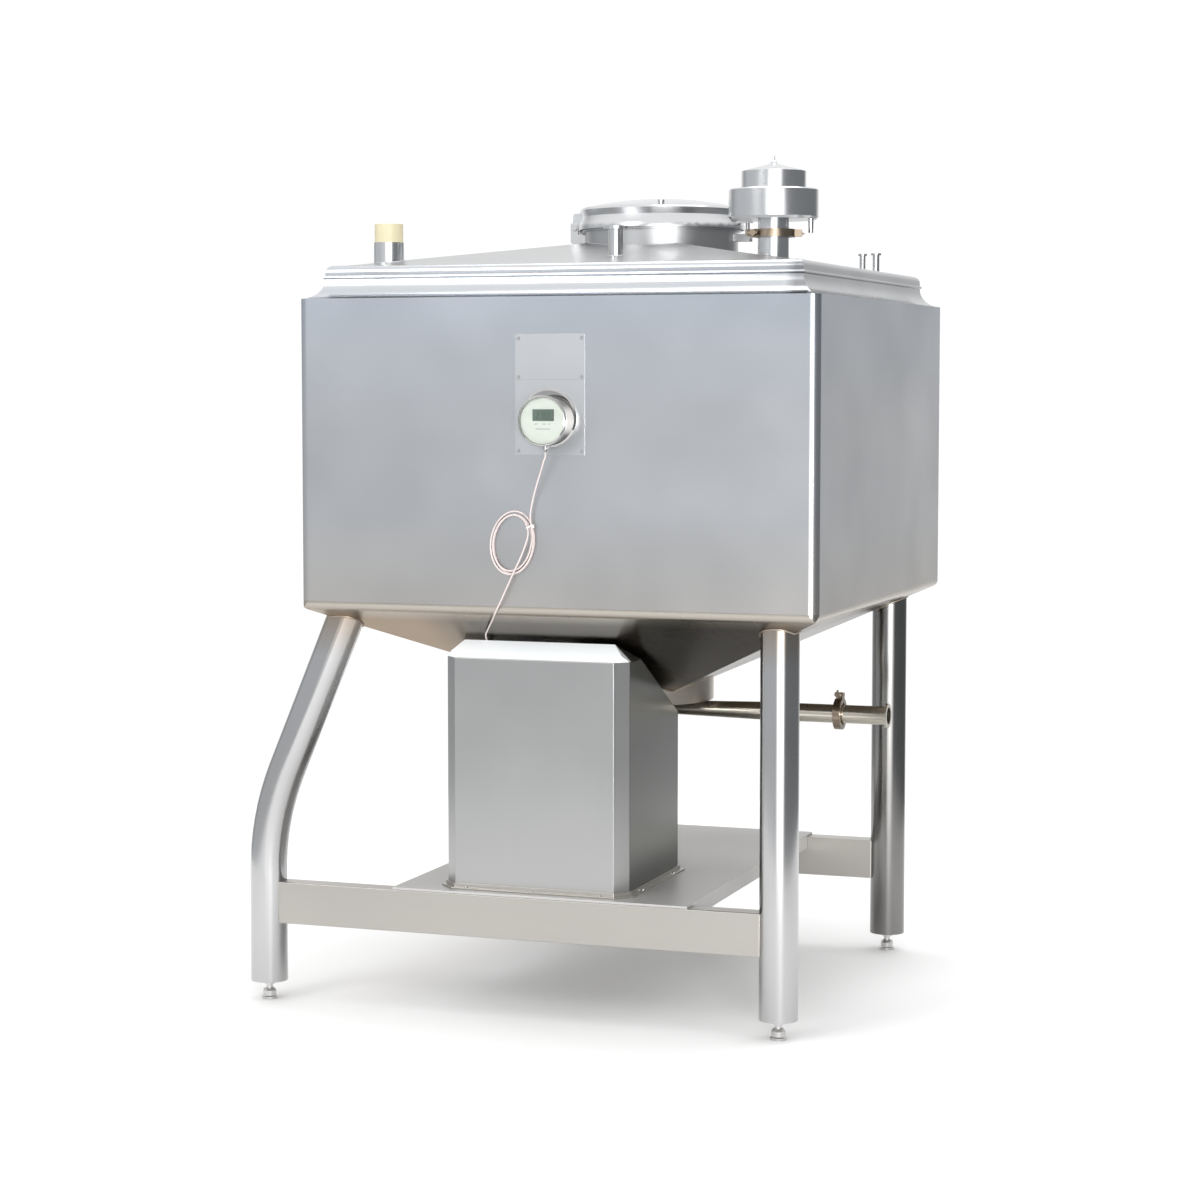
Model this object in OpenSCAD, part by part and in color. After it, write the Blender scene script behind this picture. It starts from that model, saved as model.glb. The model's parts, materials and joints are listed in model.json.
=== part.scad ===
// Square insulated milk tank with an inverted pyramid bottom, a bottom mixing
// drive under a sheet cover, and an open tubular stand. Millimetres, +Z up.
// The row's origin is the centre of the footprint box, on the floor.

/* [Tank] */
// Outside width and depth of the square tank
tank_w = 1250; // [1150:10:1350]
// Height of the tank's lower edge above the floor
tank_z = 960; // [930:5:990]
// Height of the flat walls
wall_h = 720; // [600:10:800]
// Fall of the bottom per millimetre towards the middle
bottom_slope = 0.455; // [0.43:0.005:0.47]
// Radius of the rounded lower edge
knuckle_r = 25; // [15:1:35]
// Radius of the rounded upright edges
corner_r = 22; // [12:1:30]
// Thickness of the insulation between jacket and vessel
foam_t = 50; // [40:5:60]
// Thickness of the outer sheets
jacket_t = 2; // [1.5:0.5:3]
// Thickness of the inner vessel's sheet
vessel_t = 3; // [2:0.5:4]

/* [Top] */
// Height of the moulded curb above the walls
curb_h = 78; // [70:1:90]
// Rise of the roof per millimetre towards the middle
roof_slope = 0.15; // [0.1:0.01:0.18]
// Thickness of the roof sheet
roof_t = 3; // [2:0.5:4]

/* [Manhole] */
// Manhole centre, left to right
manhole_x = 55; // [30:5:70]
// Manhole centre, front to back
manhole_y = 20; // [0:5:40]
// Outside radius of the manhole collar
collar_r = 188; // [180:1:195]
// Height of the collar's top edge above the floor
collar_z = 1860; // [1850:1:1870]

/* [Stand] */
// Outside diameter of the leg tubes
leg_d = 89; // [76:1:95]
// Wall of the leg tubes
leg_t = 3; // [2:0.5:4]
// Distance of the legs from the middle, left to right
leg_x = 515; // [500:5:530]
// Distance of the legs from the middle, front to back
leg_y = 530; // [500:5:540]
// How far out the cranked front left leg stands on the floor
crank_x = 760; // [720:5:780]
// Angle of the cranked leg's upper stretch from upright
crank_angle = 23; // [18:1:25]
// Bend radius of the cranked leg
crank_r = 640; // [500:10:680]
// Height of the top of the two rails
rail_z = 290; // [270:5:310]
// Height of the rails' section
rail_h = 100; // [80:5:110]
// Depth of the rails' section
rail_t = 50; // [40:5:60]

/* [Drive] */
// Width of the motor cover
cover_w = 454; // [440:2:460]
// Depth of the motor cover
cover_d = 397; // [385:1:400]
// Chamfer on the cover's front upright edges
cover_chamfer = 30; // [20:1:35]
// Bevel on the cover's upper edges
cover_bevel = 40; // [30:1:45]
// Pitch radius of the motor's pulley
motor_pulley_r = 60; // [50:1:64]
// Pitch radius of the spindle's pulley
spindle_pulley_r = 45; // [40:1:48]

/* [Fittings] */
// Outside radius of the discharge pipe
pipe_r = 22.5; // [20:0.5:25]
// Height of the discharge pipe's axis
pipe_z = 683; // [680:1:684]
// Outside radius of the breather's lower drum
bowl_r = 104; // [90:1:108]
// Radius of the thermometer's bezel
bezel_r = 58; // [50:1:60]
// Diameter of the sensor cable
cable_d = 4; // [3:0.5:5]

/* [Hidden] */
$fn = 48;

half = tank_w / 2;
wall_z = tank_z + wall_h;
curb_z = wall_z + curb_h;
apex_z = tank_z - bottom_slope * half;
tilt = sqrt(1 + bottom_slope * bottom_slope);
vessel_d = jacket_t + foam_t;
leg_r = leg_d / 2;
leg_z = 46;
big = 3000;

// Curb outline: cove, bead, upright band and rounded lip.
cove_r = 46;
cove_x = half - 2;
bead_r = 4;
lip_r = 16;
curb_x = cove_x - cove_r;
lip_x = curb_x - 32;

// Sump under the pyramid.
sump_r = 190;
sump_z = 704;
throat_r = 150;
bowl_in_r = 92;
bowl_t = 4;
bowl_z = 645;
seal_hole_r = 34;

// Motor cover box.
cover_x0 = -310;
cover_y0 = -515;
cover_z0 = rail_z + 10;
cover_z1 = 842;
cover_x1 = cover_x0 + cover_w;
cover_y1 = cover_y0 + cover_d;
cover_ridge_z = cover_z1 + cover_bevel;
cover_back_z = 687;
cover_t = 2;

// Drive line: motor and spindle axes, belt plane.
motor_xy = [-120, -330];
plate_t = 6;
plate_z = rail_z + plate_t;
belt_z = 405;
belt_pitch = 16;
belts = 3;
pulley_h = belt_pitch * belts + 2;
motor_r = 105;
motor_z0 = 480;
motor_z1 = 725;
motor_shaft_r = 14;
spindle_r = 15;
housing_r = 50;
bearing_r = 36;
run_gap = 0.05;

// Discharge line stations along X.
reducer_x = 330;
joint_x = 518;
spout_x = 640;
ferrule_r = 32;

// Manhole lid.
rim_r = 205;
gasket_t = 5;
seat_z = collar_z + gasket_t;
hinge_x = -218;
hinge_z = 1868;
clamp_x = 220;
clamp_z = 1838;
prong_z = 1882;

// Roof fittings, each [x, y].
breather_xy = [430, -300];
spray_xy = [80, -400];
side_xy = [-470, -450];
small_xy = [[468, 400], [508, 380]];
neck_r = 36;
breather_joint_z = 1829;
bowl_z0 = 1860;
bowl_z1 = 1930;

// Thermometer on the front wall.
gauge_z = 1400;
plate_front = 2;
gauge_back = -half - plate_front;
gauge_front = gauge_back - 55;

// Foot positions: front left, front right, back left, back right.
FEET = [[-crank_x, -leg_y], [leg_x, -leg_y], [-leg_x, leg_y], [leg_x, leg_y]];

// Place of the tank's own axis in the footprint box.
tank_x = (crank_x + leg_r - spout_x) / 2;
tank_y = (-gauge_front - half) / 2;

steel = [0.78, 0.79, 0.80];
dull = [0.66, 0.65, 0.63];

module at_tank() {
  translate([tank_x, tank_y, 0]) children();
}

// ---- Outlines ----------------------------------------------------------

function arc(c, r, a0, a1, n) =
  [for (i = [0:n]) let (a = a0 + (a1 - a0) * i / n) [c[0] + r * cos(a), c[1] + r * sin(a)]];

// Half outline of the tank, offset inwards by d, closed at height top.
function tank_half(d, top) =
  let (h = half - d,
       z0 = apex_z + d * tilt,
       r = max(knuckle_r - d, 8),
       zc = z0 + bottom_slope * (h - r) + r * tilt)
  concat([[0, z0]], arc([h - r, zc], r, -90 + atan(bottom_slope), 0, 6), [[h, top], [0, top]]);

knuckle_z = apex_z + bottom_slope * (half - knuckle_r) + knuckle_r * tilt;

// Half outline of the curb, offset inwards by d.
function curb_half(d) =
  let (r = cove_r + d,
       a0 = asin(cove_r / r))
  concat([[0, wall_z]],
         arc([cove_x, wall_z + cove_r], r, 180 + a0, 180, 10),
         arc([curb_x - d, wall_z + cove_r + bead_r], bead_r, -90, 90, d > 0 ? 1 : 6),
         arc([curb_x - lip_r, curb_z - lip_r], lip_r - d, 0, 90, 6),
         [[0, curb_z - d]]);

// Solid whose front and side outlines are both the mirrored half outline.
module four_sided(points) {
  intersection() {
    rotate([90, 0, 0]) linear_extrude(big, center = true) mirrored(points);
    rotate([90, 0, 90]) linear_extrude(big, center = true) mirrored(points);
  }
}

// Whole outline from its right half, whose first and last points are on the axis.
module mirrored(points) {
  n = len(points);
  polygon(concat(points, [for (i = [n - 2:-1:1]) [-points[i][0], points[i][1]]]));
}

// Upright column with rounded edges.
module column(h, r) {
  linear_extrude(big) union() {
    square([2 * h, 2 * (h - r)], center = true);
    square([2 * (h - r), 2 * h], center = true);
    for (x = [-1, 1]) {
      for (y = [-1, 1]) {
        translate([x * (h - r), y * (h - r)]) circle(r);
      }
    }
  }
}

module tank_solid(d, top) {
  intersection() {
    four_sided(tank_half(d, top));
    column(half - d, max(corner_r - d, 6));
  }
}

module tank_skin(d0, d1, z0, z1) {
  intersection() {
    difference() {
      tank_solid(d0, z1);
      tank_solid(d1, z1 + 1);
    }
    translate([-half, -half, z0]) cube([tank_w, tank_w, z1 - z0]);
  }
}

module roof_solid(d) {
  z = curb_z - d;
  four_sided([[0, wall_z - 40], [lip_x, wall_z - 40], [lip_x, z], [0, z + roof_slope * lip_x]]);
}

// Rings of points swept along a route.
function unit(v) = v / norm(v);
function tangent(p, i) = unit(p[min(i + 1, len(p) - 1)] - p[max(i - 1, 0)]);
function ring_at(p, i, r, n) =
  let (t = tangent(p, i),
       u = unit(cross(t, [0.2, 1, 0.1])),
       v = cross(t, u))
  [for (k = [0:n - 1]) p[i] + r * cos(360 * k / n) * u + r * sin(360 * k / n) * v];

module swept_tube(p, r, n = 8) {
  m = len(p);
  points = [for (i = [0:m - 1]) each ring_at(p, i, r, n)];
  sides = [for (i = [0:m - 2]) for (k = [0:n - 1])
    [i * n + k, (i + 1) * n + k, (i + 1) * n + (k + 1) % n, i * n + (k + 1) % n]];
  polyhedron(points, concat(sides, [[for (k = [0:n - 1]) k]], [[for (k = [0:n - 1]) m * n - 1 - k]]));
}

module ring(r0, r1, z0, z1) {
  translate([0, 0, z0]) difference() {
    cylinder(r = r1, h = z1 - z0);
    translate([0, 0, -1]) cylinder(r = r0, h = z1 - z0 + 2);
  }
}

// Neck welded on the roof: a tube and a flange at its upper end.
module neck(xy, r, t, z1, flange_r, flange_t) {
  difference() {
    translate([xy[0], xy[1], 0]) union() {
      ring(r - t, r, wall_z, z1);
      if (flange_r > r) {
        ring(r - t, flange_r, z1 - flange_t, z1);
      }
    }
    roof_solid(0);
  }
}

// ---- Tank --------------------------------------------------------------

module outer_shell() at_tank() {
  color(steel) tank_skin(0, jacket_t, knuckle_z, wall_z);
}

module bottom_cladding() at_tank() {
  color(steel) difference() {
    tank_skin(0, jacket_t, apex_z - 1, knuckle_z);
    cylinder(r = throat_r + bowl_t, h = big);
  }
}

module insulation() at_tank() {
  color([0.93, 0.88, 0.70]) difference() {
    tank_skin(jacket_t, vessel_d, apex_z, wall_z);
    cylinder(r = throat_r + bowl_t, h = big);
  }
}

module inner_vessel() at_tank() {
  color(steel) difference() {
    tank_skin(vessel_d, vessel_d + vessel_t, apex_z, wall_z);
    cylinder(r = throat_r + bowl_t, h = big);
  }
}

module top_curb() at_tank() {
  color(steel) intersection() {
    difference() {
      four_sided(curb_half(0));
      translate([0, 0, -0.01]) four_sided(curb_half(jacket_t));
      translate([-lip_x, -lip_x, wall_z - 1]) cube([2 * lip_x, 2 * lip_x, 200]);
    }
    column(half, corner_r);
  }
}

module roof() at_tank() {
  color(steel) difference() {
    roof_solid(0);
    roof_solid(roof_t);
    translate([-lip_x - 1, -lip_x - 1, wall_z - 50]) cube([2 * lip_x + 2, 2 * lip_x + 2, 50 + curb_h - roof_t]);
    translate([manhole_x, manhole_y, wall_z]) cylinder(r = collar_r - 4, h = 300);
    translate([breather_xy[0], breather_xy[1], wall_z]) cylinder(r = neck_r - 3, h = 300);
    translate([spray_xy[0], spray_xy[1], wall_z]) cylinder(r = 15, h = 300);
    translate([side_xy[0], side_xy[1], wall_z]) cylinder(r = neck_r - 3, h = 300);
    for (p = small_xy) {
      translate([p[0], p[1], wall_z]) cylinder(r = 4.5, h = 300);
    }
  }
}

module sump() at_tank() {
  color(steel) difference() {
    union() {
      difference() {
        ring(sump_r - bowl_t, sump_r, sump_z, tank_z);
        tank_solid(0, wall_z);
      }
      difference() {
        ring(throat_r, throat_r + bowl_t, sump_z, tank_z);
        tank_solid(vessel_d + vessel_t, wall_z);
      }
      ring(bowl_in_r, sump_r, sump_z, sump_z + bowl_t);
      ring(bowl_in_r, bowl_in_r + bowl_t, bowl_z, sump_z + bowl_t);
      ring(seal_hole_r, bowl_in_r + bowl_t, bowl_z, bowl_z + bowl_t);
    }
    translate([0, 0, pipe_z]) rotate([0, 90, 0]) cylinder(r = 15, h = 200);
  }
}

// ---- Stand -------------------------------------------------------------

module straight_leg(x, y) {
  color(steel) difference() {
    translate([x, y, 0]) ring(leg_r - leg_t, leg_r, leg_z, tank_z + 30);
    tank_solid(0, wall_z);
  }
}

// Centre line of the cranked leg: upright stretch, long bend and leaning stretch.
bend_z = 310;
lean = [sin(crank_angle), 0, cos(crank_angle)];
bend = [for (i = [0:8]) let (a = crank_angle * i / 8)
  [-crank_x + crank_r * (1 - cos(a)), -leg_y, bend_z + crank_r * sin(a)]];
crank_path = concat([[-crank_x, -leg_y, leg_z]], bend, [bend[8] + 480 * lean]);

module leg_front_left() at_tank() {
  color(steel) difference() {
    swept_tube(crank_path, leg_r, 40);
    swept_tube(crank_path, (leg_r - leg_t) / cos(180 / 40), 40);
    tank_solid(0, wall_z);
  }
}

module leg_front_right() at_tank() {
  straight_leg(leg_x, -leg_y);
}

module leg_back_left() at_tank() {
  straight_leg(-leg_x, leg_y);
}

module leg_back_right() at_tank() {
  straight_leg(leg_x, leg_y);
}

module rail(x0, x1, y) {
  color(dull) difference() {
    translate([x0, y - rail_t / 2, rail_z - rail_h]) cube([x1 - x0, rail_t, rail_h]);
    translate([x0 - 1, y - rail_t / 2 + 3, rail_z - rail_h + 3]) cube([x1 - x0 + 2, rail_t - 6, rail_h - 6]);
    for (x = [x0, x1]) {
      translate([x, y, 0]) cylinder(r = leg_r, h = 900);
    }
  }
}

module front_rail() at_tank() {
  rail(-crank_x, leg_x, -leg_y);
}

module back_rail() at_tank() {
  rail(-leg_x, leg_x, leg_y);
}

// Tray between the rails, with its sides folded down.
module base_plate() at_tank() {
  x0 = -425;
  x1 = 305;
  y0 = leg_y + rail_t / 2;
  y1 = leg_y - rail_t / 2 - 0.5;
  color(dull) union() {
    translate([x0, -y0, rail_z]) cube([x1 - x0, 2 * y0, plate_t]);
    for (x = [x0, x1 - 4]) {
      translate([x, -y1, rail_z - 30]) cube([4, 2 * y1, 30]);
    }
  }
}

module leg_end_plugs() at_tank() {
  color(dull) for (p = FEET) {
    translate([p[0], p[1], 0]) ring(8 + run_gap, leg_r - leg_t, leg_z, leg_z + 14);
  }
}

module foot_lock_nuts() at_tank() {
  color(steel) for (p = FEET) {
    translate([p[0], p[1], leg_z - 10]) difference() {
      cylinder(r = 14, h = 9.8, $fn = 6);
      translate([0, 0, -1]) cylinder(r = 8 + run_gap, h = 12);
    }
  }
}

// Levelling foot: threaded stud, knurled barrel and pad.
module foot(p) {
  color(steel) translate([p[0], p[1], 0]) rotate_extrude()
    polygon([[0, 0], [19, 0], [19, 6], [16, 8], [16, 20], [12, 26], [8, 26], [8, 150], [0, 150]]);
}

module foot_front_left() at_tank() {
  foot(FEET[0]);
}

module foot_front_right() at_tank() {
  foot(FEET[1]);
}

module foot_back_left() at_tank() {
  foot(FEET[2]);
}

module foot_back_right() at_tank() {
  foot(FEET[3]);
}

// ---- Motor cover -------------------------------------------------------

// Plan outline of the cover, offset outwards by d.
function cover_plan(d) =
  let (c = cover_chamfer, k = d * tan(22.5))
  [[cover_x0 - d, cover_y1 + d], [cover_x0 - d, cover_y0 + c - k], [cover_x0 + c - k, cover_y0 - d],
   [cover_x1 - c + k, cover_y0 - d], [cover_x1 + d, cover_y0 + c - k], [cover_x1 + d, cover_y1 + d]];

module cover_solid(d, z0) {
  b = cover_bevel;
  k = d * tan(22.5);
  intersection() {
    translate([0, 0, z0]) linear_extrude(900) polygon(cover_plan(-d));
    rotate([90, 0, 0]) linear_extrude(big, center = true)
      polygon([[cover_x0 + d, z0], [cover_x0 + d, cover_z1 - k], [cover_x0 + b + k, cover_ridge_z - d],
               [cover_x1 - b - k, cover_ridge_z - d], [cover_x1 - d, cover_z1 - k], [cover_x1 - d, z0]]);
    rotate([90, 0, 90]) linear_extrude(big, center = true)
      polygon([[cover_y0 + d, z0], [cover_y0 + d, cover_z1 - k], [cover_y0 + b + k, cover_ridge_z - 1.6 * d],
               [cover_y1 - d, cover_back_z - d], [cover_y1 - d, z0]]);
  }
}

module motor_cover() at_tank() {
  color(steel) difference() {
    cover_solid(0, cover_z0);
    cover_solid(cover_t, cover_z0 - 1);
    translate([-108, cover_y1 - 20, 334]) cube([180, 40, 132]);
    translate([0, 0, sump_z - 3]) cylinder(r = sump_r + 3, h = big);
  }
}

module cover_skirt() at_tank() {
  color(dull) union() {
    translate([0, 0, plate_z]) linear_extrude(cover_z0 - plate_z) difference() {
      polygon(cover_plan(14));
      polygon(cover_plan(-12));
    }
    translate([0, 0, cover_z0]) linear_extrude(9) difference() {
      polygon(cover_plan(5));
      polygon(cover_plan(0));
    }
  }
}

module cover_screws() at_tank() {
  xs = [cover_x0 + 60, (cover_x0 + cover_x1) / 2, cover_x1 - 60];
  color(steel) union() {
    for (x = xs) {
      translate([x, cover_y0 - 9.5, cover_z0]) cylinder(r = 4, h = 3);
    }
    for (y = [cover_y0 + 100, cover_y1 - 60]) {
      for (x = [cover_x0 - 9.5, cover_x1 + 9.5]) {
        translate([x, y, cover_z0]) cylinder(r = 4, h = 3);
      }
    }
  }
}

// ---- Drive -------------------------------------------------------------

module at_motor() {
  translate([motor_xy[0], motor_xy[1], 0]) children();
}

module motor_body() at_tank() at_motor() {
  fins = 28;
  color([0.30, 0.36, 0.42]) difference() {
    union() {
      translate([0, 0, motor_z0]) cylinder(r = motor_r, h = 14);
      translate([0, 0, motor_z0]) cylinder(r = motor_r - 18, h = motor_z1 - motor_z0 - 40);
      translate([0, 0, motor_z1 - 42]) cylinder(r = motor_r - 6, h = 42);
      for (i = [0:fins - 1]) {
        rotate([0, 0, 360 * i / fins]) translate([motor_r - 22, -1.5, motor_z0 + 20]) cube([14, 3, 170]);
      }
    }
    translate([0, 0, motor_z0 - 1]) cylinder(r = motor_shaft_r + run_gap, h = motor_z1 - motor_z0 - 9);
  }
}

module motor_bracket() at_tank() at_motor() {
  w = 280;
  post = 24;
  color(dull) difference() {
    union() {
      translate([-w / 2, -w / 2, motor_z0 - 12]) cube([w, w, 12]);
      for (x = [-1, 1]) {
        for (y = [-1, 1]) {
          translate([x * (w - post) / 2 - post / 2, y * (w - post) / 2 - post / 2, plate_z])
            cube([post, post, motor_z0 - 12 - plate_z]);
        }
      }
    }
    translate([0, 0, motor_z0 - 13]) cylinder(r = 40, h = 14);
  }
}

module motor_shaft() at_tank() at_motor() {
  color(steel) translate([0, 0, belt_z - 6]) cylinder(r = motor_shaft_r, h = 300);
}

// Grooved belt pulley.
module pulley(r, bore) {
  color(dull) difference() {
    rotate_extrude() polygon(concat(
      [[0, 0], [r + 6, 0]],
      [for (i = [0:belts - 1]) each
        [[r + 6, 2 + i * belt_pitch + 0.5], [r - 6, 2 + i * belt_pitch + 4],
         [r - 6, 2 + i * belt_pitch + 10], [r + 6, 2 + i * belt_pitch + 13.5]]],
      [[r + 6, pulley_h], [0, pulley_h]]));
    translate([0, 0, -1]) cylinder(r = bore, h = pulley_h + 2);
  }
}

module motor_pulley() at_tank() at_motor() {
  translate([0, 0, belt_z]) pulley(motor_pulley_r, motor_shaft_r);
}

module spindle_pulley() at_tank() {
  translate([0, 0, belt_z]) pulley(spindle_pulley_r, spindle_r);
}

// Outline of a belt loop round both pulleys, grown by d from the pitch line.
module belt_outline(d) {
  hull() {
    translate(motor_xy) circle(motor_pulley_r + d);
    circle(spindle_pulley_r + d);
  }
}

module drive_belts() at_tank() {
  color([0.12, 0.12, 0.12]) for (i = [0:belts - 1]) {
    translate([0, 0, belt_z + 2 + i * belt_pitch + 4.6]) linear_extrude(4.8) difference() {
      belt_outline(5);
      belt_outline(-5);
    }
  }
}

module spindle_housing() at_tank() {
  color(steel) union() {
    ring(bearing_r, bowl_in_r - 2, bowl_z - 12, bowl_z);
    ring(bearing_r, housing_r, 488, bowl_z - 12);
    ring(spindle_r + 3, housing_r, 478, 488);
  }
}

module spindle_bearings() at_tank() {
  color([0.55, 0.56, 0.58]) union() {
    ring(spindle_r + run_gap, bearing_r, 488.5, 508);
    ring(spindle_r + run_gap, bearing_r, 600, 620);
  }
}

module spindle_shaft() at_tank() {
  color(steel) translate([0, 0, belt_z - 6]) cylinder(r = spindle_r, h = 688 - belt_z);
}

module impeller() at_tank() {
  blades = 6;
  color(steel) difference() {
    union() {
      translate([0, 0, 657]) cylinder(r = 70, h = 5);
      translate([0, 0, 657]) cylinder(r = 24, h = 30);
      for (i = [0:blades - 1]) {
        rotate([0, 0, 360 * i / blades]) translate([20, -2, 660]) cube([48, 4, 26]);
      }
    }
    translate([0, 0, 656]) cylinder(r = spindle_r, h = 27);
  }
}

module stator_ring() at_tank() {
  slots = 16;
  color(steel) difference() {
    ring(74, 80, bowl_z + bowl_t, 694);
    for (i = [0:slots - 1]) {
      rotate([0, 0, 360 * (i + 0.5) / slots]) translate([70, -3, 660]) cube([20, 6, 24]);
    }
  }
}

module shaft_seal() at_tank() {
  color([0.25, 0.25, 0.27]) union() {
    ring(spindle_r + run_gap, seal_hole_r, bowl_z, bowl_z + bowl_t);
    ring(spindle_r + run_gap, 28, bowl_z + bowl_t, bowl_z + 10);
  }
}

// Sheet box that closes the belts in behind the cover.
module belt_guard() at_tank() {
  x0 = -112;
  x1 = 76;
  y0 = cover_y1;
  y1 = 84;
  color(steel) difference() {
    translate([x0, y0, 330]) cube([x1 - x0, y1 - y0, 140]);
    translate([x0 + 2, y0 - 1, 332]) cube([x1 - x0 - 4, y1 - y0 - 1, 136]);
    translate([0, 0, 460]) cylinder(r = 24, h = 20);
  }
}

// ---- Discharge line ----------------------------------------------------

module at_pipe(x) {
  translate([x, 0, pipe_z]) rotate([0, 90, 0]) children();
}

module discharge_pipe() at_tank() {
  end = joint_x - 1;
  color(steel) difference() {
    union() {
      at_pipe(80) cylinder(r1 = 17, r2 = pipe_r, h = reducer_x - 80);
      at_pipe(reducer_x) cylinder(r = pipe_r, h = end - reducer_x);
      at_pipe(end - 5) cylinder(r = ferrule_r, h = 5);
    }
    cylinder(r = bowl_in_r + bowl_t, h = big);
    at_pipe(79) cylinder(r1 = 15, r2 = pipe_r - 2, h = reducer_x - 79);
    at_pipe(reducer_x - 0.1) cylinder(r = pipe_r - 2, h = 300);
  }
}

module pipe_gasket() at_tank() {
  color([0.92, 0.92, 0.90]) at_pipe(joint_x - 1) ring(pipe_r - 2, ferrule_r - 2, 0, 2);
}

module discharge_spout() at_tank() {
  start = joint_x + 1;
  color(steel) difference() {
    union() {
      at_pipe(start) cylinder(r = ferrule_r, h = 5);
      at_pipe(start) cylinder(r = pipe_r, h = spout_x - start);
      at_pipe(spout_x - 6) cylinder(r = ferrule_r - 2, h = 6);
    }
    at_pipe(start - 1) cylinder(r = pipe_r - 2, h = 200);
  }
}

// Hinged ring clamp round a pair of ferrules, with bolt, lugs and wing nut.
module ring_clamp(r, lug_angles) {
  difference() {
    union() {
      translate([0, 0, -9]) cylinder(r = r + 6, h = 18);
      for (a = lug_angles) {
        rotate([0, 0, a]) {
          translate([r + 2, -11, -8]) cube([18, 22, 16]);
          translate([r + 13, 8, 0]) rotate([-90, 0, 0]) cylinder(r = 4, h = 22);
          translate([r + 13, 26, 0]) rotate([-90, 0, 0]) cylinder(r = 7, h = 8);
          translate([r + 2, 29, -2]) cube([22, 4, 4]);
        }
      }
    }
    translate([0, 0, -7]) cylinder(r = r + 0.1, h = 14);
    translate([0, 0, -20]) cylinder(r = r - 5, h = 40);
  }
}

module tri_clamps() at_tank() {
  color(steel) union() {
    at_pipe(joint_x) ring_clamp(ferrule_r, [170]);
    translate([breather_xy[0], breather_xy[1], breather_joint_z]) ring_clamp(45, [-150, 10]);
  }
}

// ---- Manhole -----------------------------------------------------------

module at_manhole() {
  translate([manhole_x, manhole_y, 0]) children();
}

// Flat ear in the XZ plane, from y0 to y1.
module ear(points, y0, y1) {
  translate([0, y1, 0]) rotate([90, 0, 0]) linear_extrude(y1 - y0) polygon(points);
}

module manhole_collar() at_tank() {
  hinge_ear = [[-collar_r + 3, 1824], [-collar_r + 3, 1848], [hinge_x + 10, 1850], [hinge_x + 10, 1878],
               [hinge_x - 10, 1878], [hinge_x - 10, 1832], [hinge_x, 1824]];
  clamp_ear = [[collar_r - 3, 1828], [clamp_x + 8, 1828], [clamp_x + 8, 1846], [collar_r - 3, 1846]];
  color(steel) difference() {
    union() {
      difference() {
        at_manhole() ring(collar_r - 4, collar_r, wall_z, collar_z);
        roof_solid(0);
      }
      at_manhole() ring(collar_r - 4, 196, collar_z - 6, collar_z);
      at_manhole() for (s = [-1, 1]) {
        ear(hinge_ear, s * 25 - 4, s * 25 + 4);
        ear(clamp_ear, s * 10.5 - 3, s * 10.5 + 3);
      }
      at_manhole() translate([clamp_x, -14, clamp_z]) rotate([-90, 0, 0]) cylinder(r = 4, h = 28);
    }
    at_manhole() translate([hinge_x, -40, hinge_z]) rotate([-90, 0, 0]) cylinder(r = 5, h = 80);
    at_manhole() cylinder(r = collar_r - 4, h = big);
  }
}

module lid_gasket() at_tank() {
  color([0.9, 0.9, 0.88]) at_manhole() ring(collar_r - 3, 195, collar_z, seat_z);
}

dome_r = 870;
dome_x = 190;
dome_z = 1934;
lid_t = 4;

// Radial outline of the lid: skirt with a shallow hollow ring, shoulder and dome.
lid_outline = concat(
  arc([0, dome_z - dome_r], dome_r, 90, 90 - asin(dome_x / dome_r), 10),
  [[198, 1910], [201, 1905], [199, 1898], [196, 1890], [199, 1880], [rim_r, 1866], [rim_r, 1858],
   [rim_r - 3, 1858], [rim_r - 3, seat_z + 0.3], [180, seat_z + 0.3], [180, 1869], [194, 1869],
   [192, 1880], [191, 1890], [194, 1899], [195, 1903], [190, 1907.5]],
  arc([0, dome_z - lid_t - dome_r], dome_r, 90 - asin(186 / dome_r), 90, 8));

module manhole_lid() at_tank() {
  knob = [58, -184];
  color(steel) at_manhole() difference() {
    union() {
      rotate_extrude($fn = 96) polygon(lid_outline);
      translate([hinge_x, -18, hinge_z]) rotate([-90, 0, 0]) cylinder(r = 10, h = 36);
      ear([[hinge_x - 9, hinge_z + 3], [hinge_x - 6, 1902], [-198, 1904], [-194, 1890], [-198, 1874],
           [hinge_x + 8, hinge_z]], -18, 18);
      translate([197, -13, prong_z - 9]) cube([33, 26, 9]);
      translate([knob[0], knob[1], 1900]) cylinder(r = 5, h = 14);
      translate([knob[0], knob[1], 1914]) cylinder(r = 8, h = 7);
    }
    translate([hinge_x, -40, hinge_z]) rotate([-90, 0, 0]) cylinder(r = 5 + run_gap, h = 80);
    translate([rim_r + 4, -5.6, 1860]) cube([40, 11.2, 40]);
  }
}

module hinge_pin() at_tank() {
  color(steel) at_manhole() translate([hinge_x, -34, hinge_z]) rotate([-90, 0, 0]) union() {
    cylinder(r = 5, h = 66);
    cylinder(r = 8, h = 5);
  }
}

module swing_bolt() at_tank() {
  color(steel) at_manhole() translate([clamp_x, 0, clamp_z]) difference() {
    union() {
      translate([0, -7, 0]) rotate([-90, 0, 0]) cylinder(r = 8, h = 14);
      cylinder(r = 5, h = 80);
    }
    translate([0, -8, 0]) rotate([-90, 0, 0]) cylinder(r = 4 + run_gap, h = 16);
  }
}

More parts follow.
